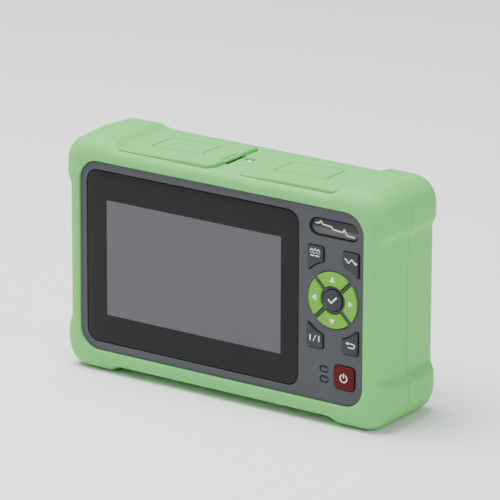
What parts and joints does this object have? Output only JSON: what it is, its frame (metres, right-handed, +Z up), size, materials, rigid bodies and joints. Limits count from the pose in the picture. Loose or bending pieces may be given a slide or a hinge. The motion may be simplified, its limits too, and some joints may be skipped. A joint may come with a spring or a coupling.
{
  "type": "handheld optical time domain reflectometer",
  "caption": "Handheld optical fibre tester with a colour screen, arrow keys and function keys, in a rubber boot with hinged flaps over its top ports.",
  "frame": {"origin": "on the surface it stands on, under the middle of the boot's outline", "axes": "+X to the user's right, along the long side; +Y from the screen to the back; +Z up"},
  "size_m": [0.1758, 0.048, 0.1098],
  "materials": {
    "boot": "soft matt moulded rubber",
    "case": "fine satin moulding",
    "glass_front": "glossy dark front with a printed border",
    "dark_key": "satin silicone key",
    "green_key": "satin silicone key",
    "red_key": "satin silicone key",
    "window": "smooth tinted light pipe",
    "plate": "smooth dark nameplate",
    "silicone": "plain silicone",
    "label": "printed film",
    "board": "circuit board",
    "metal": "plain machined metal",
    "socket_plastic": "black moulding",
    "battery": "shrink sleeve"
  },
  "bodies": {
    "tester": {"rubber_boot": "boot", "front_case": "case", "back_case": "case", "battery_door": "case", "socket_well": "case", "fibre_well": "case", "touch_glass": "glass_front", "name_plate": "plate", "light_pipe_charge": "window", "light_pipe_power": "window", "keypad_mat": "silicone", "case_gasket": "silicone", "rating_label": "label", "keypad_board": "board", "main_board": "board", "port_board": "board", "power_socket": "socket_plastic", "speaker": "socket_plastic", "battery_pack": "battery", "bridge_screw": "metal", "case_screw_upper_right": "metal", "case_screw_upper_left": "metal", "case_screw_lower_left": "metal", "case_screw_lower_right": "metal", "door_screw_left": "metal", "door_screw_right": "metal", "usb_host_socket": "metal", "usb_micro_socket": "metal", "fibre_adapter_test": "metal", "fibre_adapter_meter": "metal", "fault_light_adapter": "metal", "lcd_panel": "metal", "battery_contacts": "metal", "optics_module": "metal"},
    "key_real_avg": {"key_real_avg": "dark_key"},
    "key_auto": {"key_auto": "dark_key"},
    "key_a_b": {"key_a_b": "dark_key"},
    "key_escape": {"key_escape": "dark_key"},
    "key_ok": {"key_ok": "dark_key"},
    "key_up": {"key_up": "green_key"},
    "key_down": {"key_down": "green_key"},
    "key_left": {"key_left": "green_key"},
    "key_right": {"key_right": "green_key"},
    "key_power": {"key_power": "red_key"},
    "port_flap_left": {"port_flap_left": "boot"},
    "port_flap_right": {"port_flap_right": "boot"}
  },
  "joints": [
    {"name": "key_real_avg_press", "type": "slide", "parent": "tester", "child": "key_real_avg", "axis": [0, 1, 0], "range_m": [0, 0.0007], "stiffness_N_per_m": 2500},
    {"name": "key_auto_press", "type": "slide", "parent": "tester", "child": "key_auto", "axis": [0, 1, 0], "range_m": [0, 0.0007], "stiffness_N_per_m": 2500},
    {"name": "key_a_b_press", "type": "slide", "parent": "tester", "child": "key_a_b", "axis": [0, 1, 0], "range_m": [0, 0.0007], "stiffness_N_per_m": 2500},
    {"name": "key_escape_press", "type": "slide", "parent": "tester", "child": "key_escape", "axis": [0, 1, 0], "range_m": [0, 0.0007], "stiffness_N_per_m": 2500},
    {"name": "key_ok_press", "type": "slide", "parent": "tester", "child": "key_ok", "axis": [0, 1, 0], "range_m": [0, 0.0007], "stiffness_N_per_m": 2500},
    {"name": "key_up_press", "type": "slide", "parent": "tester", "child": "key_up", "axis": [0, 1, 0], "range_m": [0, 0.0007], "stiffness_N_per_m": 2500},
    {"name": "key_down_press", "type": "slide", "parent": "tester", "child": "key_down", "axis": [0, 1, 0], "range_m": [0, 0.0007], "stiffness_N_per_m": 2500},
    {"name": "key_left_press", "type": "slide", "parent": "tester", "child": "key_left", "axis": [0, 1, 0], "range_m": [0, 0.0007], "stiffness_N_per_m": 2500},
    {"name": "key_right_press", "type": "slide", "parent": "tester", "child": "key_right", "axis": [0, 1, 0], "range_m": [0, 0.0007], "stiffness_N_per_m": 2500},
    {"name": "key_power_press", "type": "slide", "parent": "tester", "child": "key_power", "axis": [0, 1, 0], "range_m": [0, 0.0007], "stiffness_N_per_m": 2500},
    {"name": "port_flap_left_hinge", "type": "hinge", "parent": "tester", "child": "port_flap_left", "pos_m": [-0.056, -0.0015, 0.106], "axis": [0, -1, 0], "range_deg": [0, 90], "stiffness_Nm_per_rad": 0.004},
    {"name": "port_flap_right_hinge", "type": "hinge", "parent": "tester", "child": "port_flap_right", "pos_m": [0.0105, -0.0015, 0.106], "axis": [0, -1, 0], "range_deg": [0, 90], "stiffness_Nm_per_rad": 0.004}
  ]
}
